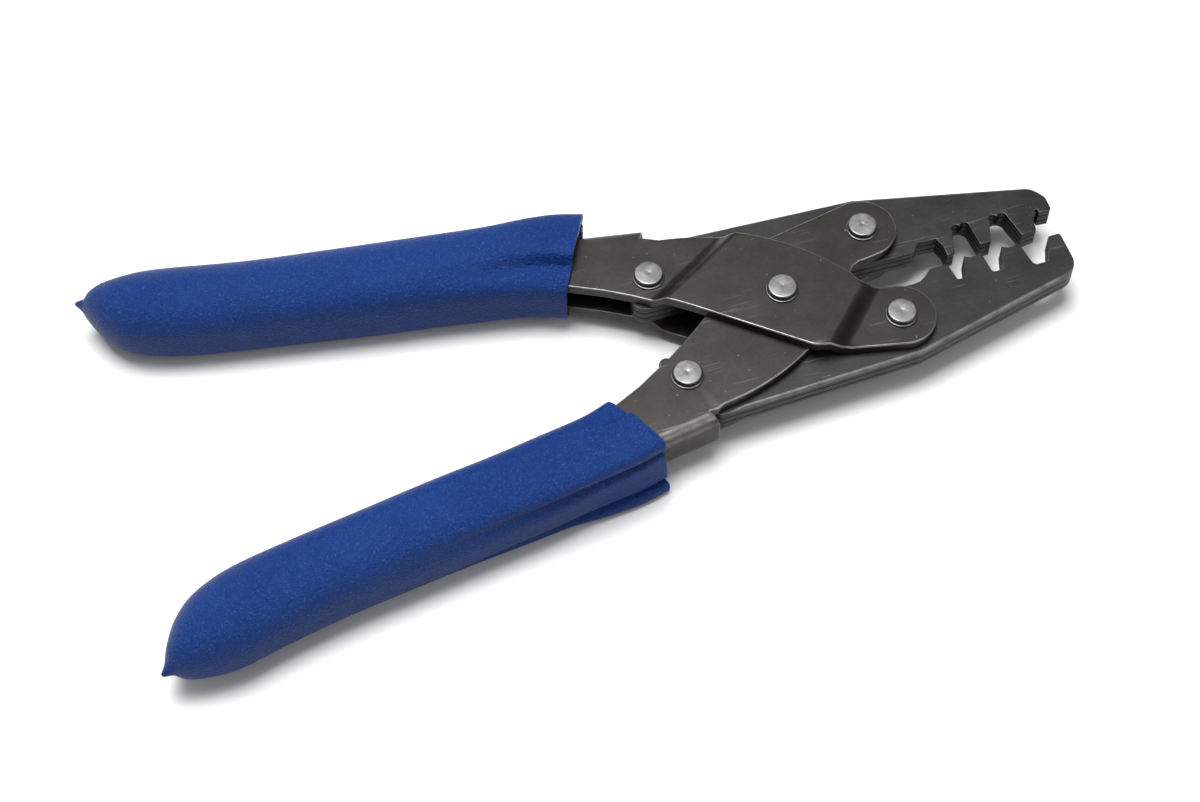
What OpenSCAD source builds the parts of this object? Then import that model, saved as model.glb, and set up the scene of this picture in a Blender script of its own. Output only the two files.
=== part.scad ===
// Open-barrel crimping tool with parallel-closing laminated jaws.
//
// Two folded sheet-steel handles cross at a centre rivet. The front end of each
// handle carries one jaw, and the tail of that jaw slides on the rear pin of the
// other handle, so the jaws stay parallel while the grips are squeezed.
//
// Frame: millimetres. The origin lies on the centre rivet's axis, at the surface
// that the tool rests on. +X points to the jaws, +Z up, and +Y to the side of the
// outer handle's grip. The model is drawn fully open.
//
// Handle frame, used for everything that rides on a handle: u runs from the centre
// rivet to the handle's front pin, v points to the folded, outer side of the handle.

/* [Linkage] */
// Distance from the centre rivet to each front pin
front_arm = 26; // [25.5:0.1:26.5]
// Distance from the centre rivet to each rear pin
rear_arm = 29; // [28.5:0.1:29.5]
// Angle between each handle's pin line and the jaw centreline, fully open
open_angle = 27.5; // [27:0.1:28]
// Angle that each handle turns from open to closed
closing_angle = 7.6; // [7:0.1:7.8]

/* [Sheet steel] */
// Thickness of the handle plates
plate_t = 2.4; // [2.2:0.1:2.5]
// Thickness of one of the three plates in a jaw
jaw_plate_t = 1.7; // [1.6:0.05:1.8]
// Gap between faces that slide on each other
slide_gap = 0.1; // [0.08:0.01:0.15]
// Outer radius of the folded edge
fold_r = 2.8; // [2.4:0.1:3.2]
// Length of the slope where the outer handle steps over the inner one
step_run = 2.6; // [2.2:0.1:3]

/* [Handles] */
// Radius of the round front end of each handle
lobe_r = 7.6; // [7.2:0.1:8]
// Radius of the bulged outer edge of each handle
bulge_r = 51; // [50:0.5:52]
// Angle between the folded edge and the pin line
fold_angle = 18; // [17.5:0.1:18.5]
// Position along the outer handle where its fold ends
outer_fold_u = -32.6; // [-33:0.1:-32]
// Position along the inner handle where its fold ends
inner_fold_u = -31.8; // [-32.2:0.1:-31.4]
// Position along the handle where the steel ends, inside the grip
steel_end_u = -132; // [-134:0.5:-126]

/* [Jaws] */
// Distance from the centre rivet to the front of the crimper jaw
crimper_nose_x = 66; // [65.6:0.1:66.4]
// Distance from the centre rivet to the front of the anvil jaw
anvil_nose_x = 65.3; // [65:0.1:65.8]
// Depth of the crimping nest throats above the centreline
roof_y = 7.6; // [7.3:0.1:7.8]
// Height of the anvils relative to the centreline
anvil_y = 0; // [-0.3:0.1:0]

/* [Pins] */
// Diameter of every rivet shank
shank_d = 4.4; // [4:0.1:4.6]
// Diameter of a rivet head where it meets the plate
head_base_d = 7; // [6.6:0.1:7.4]
// Diameter of a rivet head's top face
head_top_d = 6.3; // [6:0.1:6.5]
// Height of a rivet head
head_h = 1.7; // [1.4:0.1:1.8]
// Radial clearance where a shank turns in a bore
run_clear = 0.05; // [0.03:0.01:0.08]
// Radial clearance where a shank is held in its own plate
held_clear = 0.02; // [0.01:0.01:0.03]
// Clearance on each side of a rear pin in its slot
slot_clear = 0.1; // [0.08:0.01:0.15]
// Outer diameter of the bush between the inner handle's plates
centre_bush_d = 9; // [8:0.5:9]
// Outer diameter of the bush in each jaw
jaw_bush_d = 6.4; // [6:0.1:6.6]

/* [Hidden] */

// Smoothness of round features
bore_fn = 64;
// Degrees between points on an outline's arcs
arc_step = 6;

// Colours
steel_dark = [0.20, 0.19, 0.18];
steel_black = [0.16, 0.16, 0.16];
steel_bright = [0.72, 0.72, 0.70];
vinyl_blue = [0.08, 0.20, 0.55];

// Heights measured from the middle plane of the jaws
jaw_half_t = 1.5 * jaw_plate_t;
gap_z = jaw_half_t + slide_gap;
plate_top_z = gap_z + plate_t;
raised_z = plate_top_z + slide_gap;
raised_top_z = raised_z + plate_t;
// Height of the middle plane above the resting surface
mid_z = raised_top_z + head_h;

// Pin places on the pin line of a handle
front_pin = [front_arm, 0];
rear_pin = [-rear_arm, 0];
// The same pins in the open tool, on the side of the crimper jaw
jaw_front_pin = front_arm * [cos(open_angle), sin(open_angle)];
jaw_rear_pin = rear_arm * [-cos(open_angle), sin(open_angle)];

// Direction of the slot that a rear pin slides in
slot_angle = atan2(jaw_rear_pin.y - jaw_front_pin.y, jaw_rear_pin.x - jaw_front_pin.x);

// Jaw movement towards the centreline, for the relief round the centre bush
jaw_shift = front_arm * [cos(open_angle - closing_angle) - cos(open_angle),
                         sin(open_angle - closing_angle) - sin(open_angle)];

function arc(centre, r, from, to) =
    let (n = max(2, ceil(abs(to - from) / arc_step)))
    [for (i = [0:n]) centre + r * [cos(from + (to - from) * i / n),
                                   sin(from + (to - from) * i / n)]];

// ---- Placing ------------------------------------------------------------------

module lift() {
    translate([0, 0, mid_z]) children();
}

module outer_side() {
    lift() rotate([0, 0, -open_angle]) children();
}

module inner_side() {
    mirror([0, 1, 0]) outer_side() children();
}

module both_faces() {
    children();
    mirror([0, 0, 1]) children();
}

// ---- Handle plates --------------------------------------------------------------

// Where a handle's outer edge starts to be folded: its place and its distance out
outer_fold = [outer_fold_u, 13.1];
inner_fold = [inner_fold_u, 12.5];
fold_slope = tan(fold_angle);
function fold_v(fold, u) = fold.y + (u - fold.x) * fold_slope;

bulge_centre = [-10.5, 13.6 - bulge_r];
// Inner edge of the steel, from inside the grip to the crossing
inner_edge = [[-52, -6.2], [-46, -5.6], [-38, -5.35], [-32, -5.6], [-24, -6.5], [-18, -7.5]];
inner_edge_taper = 0.29;
steel_end_v = inner_edge[0].y + (steel_end_u - inner_edge[0].x) * inner_edge_taper;

// Plan outline that both handles share, apart from the place of the fold
function handle_outline(fold) = concat(
    arc(front_pin, lobe_r, -72, 112),
    [[20.6, 6.2], [18.8, 5.5], [17.2, 5.4], [15.6, 6.0]],
    arc(bulge_centre, bulge_r, 61, 110.5),
    [[-30.2, 10.3], [fold.x + 0.6, 10.9], fold,
     [steel_end_u, fold_v(fold, steel_end_u)], [steel_end_u, steel_end_v]],
    inner_edge,
    arc([8.7, -8.7], 4, 257, 285));

module handle_plan(fold, height) {
    linear_extrude(height) polygon(handle_outline(fold));
}

// Folded channel whose web is the handle's outer edge; grow makes the grip's hollow
module folded_channel(fold, grow = 0, hollow = true) {
    reach = 28;
    length = 160;
    translate([fold.x, fold.y, 0])
        rotate([0, 0, fold_angle])
        translate([20 - length, 0, 0])
        rotate([90, 0, 90])
        linear_extrude(length)
        difference() {
            polygon(concat(
                [[-reach, plate_top_z + grow], [-reach, -plate_top_z - grow]],
                arc([grow - fold_r, fold_r - plate_top_z - grow], fold_r, -90, 0),
                arc([grow - fold_r, plate_top_z + grow - fold_r], fold_r, 0, 90)));
            if (hollow)
                translate([-reach - 1, -gap_z]) square([reach + 1 - plate_t, 2 * gap_z]);
        }
}

// Block of plan space in front of the fold's end
module before_fold(fold) {
    translate([fold.x, -60, -20]) cube([100, 120, 40]);
}

module folded_rear(fold) {
    difference() {
        intersection() {
            translate([0, 0, -plate_top_z]) handle_plan(fold, 2 * plate_top_z);
            folded_channel(fold);
        }
        before_fold(fold);
    }
}

module shank_bore(place, clearance) {
    translate([place.x, place.y, -20])
        cylinder(h = 40, d = shank_d + 2 * clearance, $fn = bore_fn);
}

// Flat front part of the inner handle: two straight plates
module flat_front(fold) {
    both_faces() intersection() {
        translate([0, 0, gap_z]) handle_plan(fold, plate_t);
        before_fold(fold);
    }
}

// Sheet that is low on one side of a bend line and raised on the other. The line
// passes through a point at an angle; the raised side lies along +x of the turned frame.
module stepped_sheet(point, angle, low_reach, high_reach) {
    span = 80;
    bend = 0.35;
    translate([point.x, point.y, 0])
        rotate([0, 0, angle])
        rotate([90, 0, 0])
        translate([0, 0, -span / 2])
        linear_extrude(span)
        polygon([
            [-low_reach, gap_z], [-step_run + bend, gap_z],
            [-step_run + 2 * bend, gap_z + bend], [0, raised_z - bend / 2], [bend, raised_z],
            [high_reach, raised_z], [high_reach, raised_top_z],
            [-bend, raised_top_z], [-2 * bend, raised_top_z - bend],
            [-step_run, plate_top_z + bend / 2], [-step_run - bend, plate_top_z],
            [-low_reach, plate_top_z]]);
}

// Where the outer handle steps up behind the crossing, and down again in front of it
rear_step_point = [-18.3, 3.4];
rear_step_angle = -31;
front_step_point = [14.4, -4.4];
front_step_angle = 163.7;
// The two steps are joined on this line across the raised part
step_seam_u = 7;

module stepped_front(fold) {
    both_faces() {
        intersection() {
            handle_plan(fold, raised_top_z + 1);
            stepped_sheet(rear_step_point, rear_step_angle, 60, 60);
            translate([fold.x, -60, 0]) cube([step_seam_u - fold.x, 120, 20]);
        }
        intersection() {
            handle_plan(fold, raised_top_z + 1);
            stepped_sheet(front_step_point, front_step_angle, 60, 60);
            translate([step_seam_u, -60, 0]) cube([60, 120, 20]);
        }
    }
}

module outer_handle() {
    color(steel_dark) outer_side() difference() {
        union() {
            folded_rear(outer_fold);
            stepped_front(outer_fold);
        }
        shank_bore([0, 0], held_clear);
        shank_bore(front_pin, held_clear);
        shank_bore(rear_pin, held_clear);
    }
}

// Small stop nub on the inner handle's inner edge, beside its rear pin
nub_centre = [-30, -5.1];
nub_r = 1.7;

module inner_handle() {
    color(steel_dark) inner_side() difference() {
        union() {
            folded_rear(inner_fold);
            flat_front(inner_fold);
            both_faces() translate([nub_centre.x, nub_centre.y, gap_z])
                cylinder(h = plate_t, r = nub_r, $fn = bore_fn);
        }
        shank_bore([0, 0], run_clear);
        shank_bore(front_pin, held_clear);
        shank_bore(rear_pin, held_clear);
    }
}

// ---- Grips ----------------------------------------------------------------------

// Stations from the mouth to the tip: position along the handle, inner side,
// outer side, half thickness, and squareness of the section on its inner and outer half
grip_stations = [
    [-45.6, -7.7, 13.2, 1, 2.7, 5.0], [-52, -8.3, 12.0, 1, 2.8, 4.6],
    [-58, -9.8, 10.0, 1, 2.9, 4.2], [-64, -11.7, 7.6, 1, 2.9, 3.8],
    [-72, -14.3, 4.7, 1, 2.9, 3.4], [-85, -18.9, 0.1, 1, 2.9, 3.0],
    [-100, -23.9, -5.2, 1, 2.8, 2.7], [-115, -28.9, -10.4, 1, 2.7, 2.5],
    [-125, -32.0, -13.5, 1, 2.6, 2.4], [-132, -33.6, -15.4, 0.97, 2.4, 2.3],
    [-137.5, -34.1, -17.0, 0.92, 2.3, 2.2], [-142, -33.4, -18.9, 0.83, 2.1, 2.1],
    [-145.5, -31.5, -21.0, 0.67, 2, 2], [-147.8, -29.1, -22.9, 0.43, 2, 2],
    [-148.9, -27.4, -24.3, 0.2, 2, 2], [-150.2, -26.5, -25.1, 0.11, 2, 2],
    [-150.9, -26.1, -25.5, 0.05, 2, 2]];
// Points round a section
grip_points = 48;
// Grooves that part the top pad, the middle and the bottom pad near the mouth
groove_depth = 1.7;
groove_z = 4.4;
groove_width = 1.1;
groove_length = 42;

function signed_power(x, p) = sign(x) * pow(abs(x), p);

function groove(u, z) =
    let (fade = max(0, 1 - (grip_stations[0][0] - u) / groove_length),
         off = (abs(z) - groove_z) / groove_width)
    groove_depth * fade * exp(-off * off);

function grip_ring(s) =
    let (middle = (s[1] + s[2]) / 2, half = (s[2] - s[1]) / 2)
    [for (j = [0:grip_points - 1])
        let (t = 360 * j / grip_points,
             power = 2 / (cos(t) < 0 ? s[4] : s[5]),
             z = mid_z * s[3] * signed_power(sin(t), power),
             side = signed_power(cos(t), power),
             cut = side > 0.3 ? groove(s[0], z) : 0)
        [s[0], middle + side * (half - cut), z]];

module grip_skin() {
    rings = len(grip_stations);
    points = [for (s = grip_stations) each grip_ring(s)];
    sides = [for (i = [0:rings - 2], j = [0:grip_points - 1])
        let (k = (j + 1) % grip_points)
        [i * grip_points + j, i * grip_points + k,
         (i + 1) * grip_points + k, (i + 1) * grip_points + j]];
    mouth = [for (j = [grip_points - 1:-1:0]) j];
    tip = [for (j = [0:grip_points - 1]) (rings - 1) * grip_points + j];
    polyhedron(points, concat(sides, [mouth, tip]), convexity = 6);
}

// The sleeve fits the folded steel; between the plates it is hollow
module grip_sleeve(fold) {
    fit = 0.03;
    end_u = steel_end_u - fit;
    difference() {
        grip_skin();
        intersection() {
            translate([0, 0, -20]) linear_extrude(40)
                polygon(concat(
                    [fold + [0, 2 * fit], [end_u, fold_v(fold, end_u) + 2 * fit], [end_u, steel_end_v - fit]],
                    [for (k = [0:3]) inner_edge[k] - [0, fit]]));
            folded_channel(fold, fit, false);
        }
    }
}

module outer_grip() {
    color(vinyl_blue) outer_side() grip_sleeve(outer_fold);
}

module inner_grip() {
    color(vinyl_blue) inner_side() grip_sleeve(inner_fold);
}

// ---- Jaws -----------------------------------------------------------------------

// Crimping nests: the two sides of the anvil, the two sides of the throat at its
// roof, and the two sides of the mouth
nests = [
    [34.2, 38.4, 34.25, 38.55, 32.5, 39.3],
    [42.65, 46.5, 42.8, 46.9, 41.1, 47.3],
    [51.5, 55.3, 51.65, 55.8, 49.85, 57.05]];
tooth_y = 1.7;
inner_edge_y = 4.1;
roof_corner_y = 6.4;
// Outer edge of each jaw blank: shoulder and front
crimper_blank = [[24.5, 21.9], [60.6, 14.2]];
anvil_blank = [[24.5, 21.1], [60.3, 12.2]];
nose_r = 4.8;
// Tail of each jaw: its rear corner, and the open fork that the rear pin slides in
blank_rear = [-22.3, 23.4];
fork_end_x = -30.6;
fork_inner_y = 7;
fork_corner_r = 3;
fork_outer_y = 17;

// Outer edge of a jaw, from its nose to the inner prong of its fork
function jaw_back_edge(blank, nose_x) = concat(
    arc([nose_x - nose_r, blank[1].y - nose_r - 0.3], nose_r, 0, 78),
    [blank[0], blank_rear + [1.2, 0], blank_rear - [0, 0.8],
     [fork_end_x + 0.8, fork_outer_y + 0.6], [fork_end_x, fork_outer_y]],
    arc([fork_end_x + fork_corner_r, fork_inner_y + fork_corner_r], fork_corner_r, 180, 270));

module jaw_pin_holes() {
    translate([jaw_front_pin.x, jaw_front_pin.y, -20])
        cylinder(h = 40, d = jaw_bush_d + 2 * run_clear, $fn = bore_fn);
    // Slot for the rear pin, open at the tail
    slot_d = shank_d + 2 * slot_clear;
    translate([jaw_rear_pin.x, jaw_rear_pin.y, -20]) rotate([0, 0, slot_angle]) {
        cylinder(h = 40, d = slot_d, $fn = bore_fn);
        translate([0, -slot_d / 2, 0]) cube([20, slot_d, 40]);
    }
}

// Relief in a jaw for the centre bush, wherever it stands between open and closed
module bush_relief() {
    relief_r = centre_bush_d / 2 + 0.5;
    for (k = [0, 0.5, 1])
        translate([jaw_shift.x * -k, jaw_shift.y * -k, -20])
            cylinder(h = 40, r = relief_r, $fn = bore_fn);
    translate([-relief_r - 0.6, -10, -20]) cube([2 * relief_r + 0.4, 11.5, 40]);
}

// Roof of a nest: two small arcs that meet in a cusp on the wire side, one plain
// arc on the insulation side
function nest_roof(n, wire_side) =
    let (middle = (n[2] + n[3]) / 2, half = (n[3] - n[2]) / 2, lobe = half / 2)
    wire_side
        ? concat(arc([middle - lobe, roof_y], lobe, 180, 20), arc([middle + lobe, roof_y], lobe, 160, 0))
        : arc([middle, roof_y - 0.6], half, 180, 0);

// Inner edge of the crimper jaw from its tail to its nose
function crimper_edge(wire_side) = concat(
    [[-8, fork_inner_y], [-4, 6], [4, inner_edge_y + 0.2],
     [31.6, inner_edge_y],
     [nests[0][4], inner_edge_y + 0.2], [nests[0][2], roof_corner_y],
     [nests[0][3], roof_corner_y - 0.2], [nests[0][5], 3.8], [nests[0][5], 1.25],
     [nests[1][4], tooth_y]],
    nest_roof(nests[1], wire_side),
    [[nests[1][5], tooth_y + 0.2], [nests[2][4], tooth_y + 0.3]],
    nest_roof(nests[2], wire_side),
    [[nests[2][5], tooth_y - 0.1], [60.6, tooth_y + 0.4], [61.15, 6.4],
     [62.3, 6.4], [62.3, 7.2], [63, 7.2], [63, 6.3],
     [crimper_nose_x - 0.5, 6.1], [crimper_nose_x, 6.6]]);

// Inner edge of the anvil jaw, drawn on the same side as the crimper jaw and then
// mirrored, so y here counts away from the centreline
function anvil_top(n, dip) =
    let (width = n[1] - n[0])
    [[n[0], -anvil_y], [n[0] + 0.35, dip * 0.3 - anvil_y],
     [n[0] + 0.3 * width, dip * 0.9 - anvil_y], [n[1] - 0.3 * width, dip * 0.9 - anvil_y],
     [n[1] - 0.35, dip * 0.3 - anvil_y], [n[1], -anvil_y]];

function anvil_edge(wire_side) =
    let (dip = wire_side ? 0.75 : 1.1)
    concat(
    [[-8, fork_inner_y], [-4, 6], [4, 4.2],
     [26, 3.7], [29.3, 3.7], [31, 3.45], [32.4, 2.6],
     [nests[0][0], 1.05], [nests[0][1] - 0.5, 0.9], [nests[0][1], 1.4],
     [38.95, 5.1], [39.3, 5.4], [41, 5.4]],
    anvil_top(nests[1], dip),
    [[47, 5.3], [47.4, 5.8], [49.6, 5.8]],
    anvil_top(nests[2], dip),
    [[56.4, 6.1], [57, 6.7], [59.9, 6.7],
     [62.4, 0.5], [anvil_nose_x - 0.5, 0.4], [anvil_nose_x - 0.1, 0.9], [anvil_nose_x, 6]]);

// One jaw plate; level is -1, 0 or 1 for the bottom, middle or top plate
module jaw_plate(outline, level) {
    translate([0, 0, (level - 0.5) * jaw_plate_t]) difference() {
        linear_extrude(jaw_plate_t) polygon(outline);
        jaw_pin_holes();
        bush_relief();
    }
}

module crimper_plate(level) {
    color(steel_black) lift()
        jaw_plate(concat(crimper_edge(level >= 0), jaw_back_edge(crimper_blank, crimper_nose_x)), level);
}

module anvil_plate(level) {
    color(steel_black) lift() mirror([0, 1, 0])
        jaw_plate(concat(anvil_edge(level >= 0), jaw_back_edge(anvil_blank, anvil_nose_x)), level);
}

module crimper_jaw_top_plate() { crimper_plate(1); }
module crimper_jaw_middle_plate() { crimper_plate(0); }
module crimper_jaw_bottom_plate() { crimper_plate(-1); }
module anvil_jaw_top_plate() { anvil_plate(1); }
module anvil_jaw_middle_plate() { anvil_plate(0); }
module anvil_jaw_bottom_plate() { anvil_plate(-1); }

// ---- Rivets and bushes ----------------------------------------------------------

// Half of a rivet's profile; only the formed head, on top, has a dimple
function rivet_profile(seat, dimple_h) =
    let (top = seat + head_h, edge = 0.35, dimple_r = 0.7)
    [[0, 0], [shank_d / 2, 0], [shank_d / 2, seat], [head_base_d / 2, seat],
     [head_base_d / 2, seat + 0.35], [head_top_d / 2 + 0.1, seat + 0.7],
     [head_top_d / 2 + 0.1, top - edge], [head_top_d / 2 - edge, top],
     [dimple_r, top], [0, top - dimple_h]];

// Rivet through a handle's two plates; seat is the height of their outer faces
module rivet(place, seat) {
    translate([place.x, place.y, 0]) {
        rotate_extrude($fn = bore_fn) polygon(rivet_profile(seat, 0.25));
        mirror([0, 0, 1]) rotate_extrude($fn = bore_fn) polygon(rivet_profile(seat, 0));
    }
}

// Plain bush between two plates, round a rivet shank
module bush(place, outer_d) {
    length = 2 * gap_z - slide_gap;
    translate([place.x, place.y, -length / 2]) difference() {
        cylinder(h = length, d = outer_d, $fn = bore_fn);
        translate([0, 0, -1])
            cylinder(h = length + 2, d = shank_d + 2 * held_clear, $fn = bore_fn);
    }
}

module centre_rivet() {
    color(steel_bright) outer_side() rivet([0, 0], raised_top_z);
}

module centre_bush() {
    color(steel_bright) outer_side() bush([0, 0], centre_bush_d);
}

module outer_handle_front_rivet() {
    color(steel_bright) outer_side() rivet(front_pin, plate_top_z);
}

module inner_handle_front_rivet() {
    color(steel_bright) inner_side() rivet(front_pin, plate_top_z);
}

module outer_handle_rear_rivet() {
    color(steel_bright) outer_side() rivet(rear_pin, plate_top_z);
}

module inner_handle_rear_rivet() {
    color(steel_bright) inner_side() rivet(rear_pin, plate_top_z);
}

module crimper_jaw_bush() {
    color(steel_bright) inner_side() bush(front_pin, jaw_bush_d);
}

module anvil_jaw_bush() {
    color(steel_bright) outer_side() bush(front_pin, jaw_bush_d);
}

outer_handle();
inner_handle();
outer_grip();
inner_grip();
crimper_jaw_top_plate();
crimper_jaw_middle_plate();
crimper_jaw_bottom_plate();
anvil_jaw_top_plate();
anvil_jaw_middle_plate();
anvil_jaw_bottom_plate();
centre_rivet();
centre_bush();
outer_handle_front_rivet();
inner_handle_front_rivet();
outer_handle_rear_rivet();
inner_handle_rear_rivet();
crimper_jaw_bush();
anvil_jaw_bush();
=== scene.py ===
import math

import bmesh
import bpy
from mathutils import Matrix, Vector
from mathutils.geometry import delaunay_2d_cdt


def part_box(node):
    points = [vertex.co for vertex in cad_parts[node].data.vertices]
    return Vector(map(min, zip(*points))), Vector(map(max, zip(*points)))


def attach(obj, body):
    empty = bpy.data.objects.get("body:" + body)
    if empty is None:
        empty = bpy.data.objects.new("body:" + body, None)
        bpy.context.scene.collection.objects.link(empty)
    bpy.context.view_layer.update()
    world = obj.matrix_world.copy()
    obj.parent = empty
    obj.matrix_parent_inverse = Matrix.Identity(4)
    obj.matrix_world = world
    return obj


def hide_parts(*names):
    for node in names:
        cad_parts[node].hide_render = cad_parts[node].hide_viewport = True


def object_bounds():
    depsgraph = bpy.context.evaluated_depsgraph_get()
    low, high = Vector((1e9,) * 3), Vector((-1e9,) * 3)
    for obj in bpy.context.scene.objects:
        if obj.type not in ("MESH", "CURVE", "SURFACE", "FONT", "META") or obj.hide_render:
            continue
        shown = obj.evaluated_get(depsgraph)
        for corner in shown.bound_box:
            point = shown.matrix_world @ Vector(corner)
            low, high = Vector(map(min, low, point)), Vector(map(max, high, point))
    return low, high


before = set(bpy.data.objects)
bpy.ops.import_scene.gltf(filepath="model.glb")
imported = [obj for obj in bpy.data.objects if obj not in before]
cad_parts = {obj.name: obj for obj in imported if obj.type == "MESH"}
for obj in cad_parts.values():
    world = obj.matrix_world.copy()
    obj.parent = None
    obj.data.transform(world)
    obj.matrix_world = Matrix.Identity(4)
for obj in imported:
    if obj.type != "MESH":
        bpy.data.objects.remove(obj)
cad_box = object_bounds()

MM = 0.001
MID_Z = (cad_box[0][2] + cad_box[1][2]) / 2

# Angle between each handle's pin line and the jaw centreline, fully open
OPEN_ANGLE = math.radians(27.5)
# Heights from the middle plane of the jaws, in millimetres
PLATE_TOP = 5.05
RAISED_TOP = 7.55


# ---- Small helpers --------------------------------------------------------------


def handle_point(u, v, z, side):
    """Metres, from handle coordinates in millimetres. side is 1 for the outer handle, -1 for the inner."""
    x = u * math.cos(OPEN_ANGLE) + v * math.sin(OPEN_ANGLE)
    y = -u * math.sin(OPEN_ANGLE) + v * math.cos(OPEN_ANGLE)
    return Vector((x * MM, side * y * MM, MID_Z + z * MM))


def smoothstep(x):
    x = min(1.0, max(0.0, x))
    return x * x * (3 - 2 * x)


def link(obj):
    bpy.context.scene.collection.objects.link(obj)
    return obj


def shade(mesh, sharp_angle):
    mesh.polygons.foreach_set("use_smooth", [True] * len(mesh.polygons))
    mesh.set_sharp_from_angle(angle=math.radians(sharp_angle))


def place(name, mesh, body, nodes, material):
    """Makes the object of a finished piece, hangs it on its body and hides the CAD parts that it stands in
    for.
    """
    obj = link(bpy.data.objects.new(name, mesh))
    mesh.materials.clear()
    mesh.materials.append(material)
    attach(obj, body)
    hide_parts(*nodes)
    return obj


# ---- Materials --------------------------------------------------------------------


class Surface:
    """A node-based material: a Principled shader and the nodes that feed it."""

    def __init__(self, name):
        self.material = bpy.data.materials.new(name)
        self.material.use_nodes = True
        self.tree = self.material.node_tree
        self.shader = self.tree.nodes["Principled BSDF"]
        self.place = self.node("ShaderNodeTexCoord").outputs["Object"]

    def node(self, kind, **settings):
        made = self.tree.nodes.new(kind)
        for key, value in settings.items():
            setattr(made, key, value)
        return made

    def feed(self, socket, value):
        if isinstance(value, bpy.types.NodeSocket):
            self.tree.links.new(value, socket)
        else:
            socket.default_value = value

    def set(self, **values):
        names = {"rough": "Roughness", "metal": "Metallic", "colour": "Base Color",
                 "specular": "Specular IOR Level", "normal": "Normal"}
        for key, value in values.items():
            self.feed(self.shader.inputs[names[key]], value)

    def noise(self, scale, detail=3.0, rough=0.55, stretch=None, turn=0.0):
        """Noise from 0 to 1; scale counts features per metre."""
        where = self.place
        if stretch:
            mapping = self.node("ShaderNodeMapping")
            self.feed(mapping.inputs["Vector"], where)
            mapping.inputs["Scale"].default_value = stretch
            mapping.inputs["Rotation"].default_value = (0, 0, turn)
            where = mapping.outputs["Vector"]
        made = self.node("ShaderNodeTexNoise")
        self.feed(made.inputs["Vector"], where)
        made.inputs["Scale"].default_value = scale
        made.inputs["Detail"].default_value = detail
        made.inputs["Roughness"].default_value = rough
        return made.outputs["Fac"]

    def cells(self, scale):
        """Distance from the middle of the nearest cell; scale counts cells per metre."""
        made = self.node("ShaderNodeTexVoronoi")
        self.feed(made.inputs["Vector"], self.place)
        made.inputs["Scale"].default_value = scale
        return made.outputs["Distance"]

    def attribute(self, name):
        """A value that the mesh carries."""
        return self.node("ShaderNodeAttribute", attribute_name=name).outputs["Fac"]

    def ramp(self, value, low, high, to_low=0.0, to_high=1.0):
        """Stretches low..high to to_low..to_high, and clips what lies beyond."""
        made = self.node("ShaderNodeMapRange", clamp=True)
        for key, number in (("Value", value), ("From Min", low), ("From Max", high),
                            ("To Min", to_low), ("To Max", to_high)):
            self.feed(made.inputs[key], number)
        return made.outputs["Result"]

    def maths(self, kind, a, b):
        made = self.node("ShaderNodeMath", operation=kind)
        self.feed(made.inputs[0], a)
        self.feed(made.inputs[1], b)
        return made.outputs["Value"]

    def mix(self, factor, a, b):
        """Mixes two colours, given as sockets or as linear RGB triples."""
        made = self.node("ShaderNodeMix", data_type="RGBA")
        self.feed(made.inputs["Factor"], factor)
        for socket, value in ((made.inputs[6], a), (made.inputs[7], b)):
            self.feed(socket, value if isinstance(value, bpy.types.NodeSocket) else (*value, 1.0))
        return made.outputs[2]

    def bump(self, height, distance, strength=1.0, before=None):
        """A normal from a height map, on top of the normal before."""
        made = self.node("ShaderNodeBump")
        made.inputs["Strength"].default_value = strength
        made.inputs["Distance"].default_value = distance
        self.feed(made.inputs["Height"], height)
        if before:
            self.feed(made.inputs["Normal"], before)
        return made.outputs["Normal"]

    def scratches(self, scale, turn, low, high):
        """Thin straight marks at an angle, as a mask."""
        streaks = self.noise(scale, 2.0, 0.5, stretch=(1, 26, 26), turn=turn)
        patches = self.noise(scale * 1.7, 1.0, 0.5)
        return self.maths("MULTIPLY", self.ramp(streaks, low, high), self.ramp(patches, 0.52, 0.62))


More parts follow.
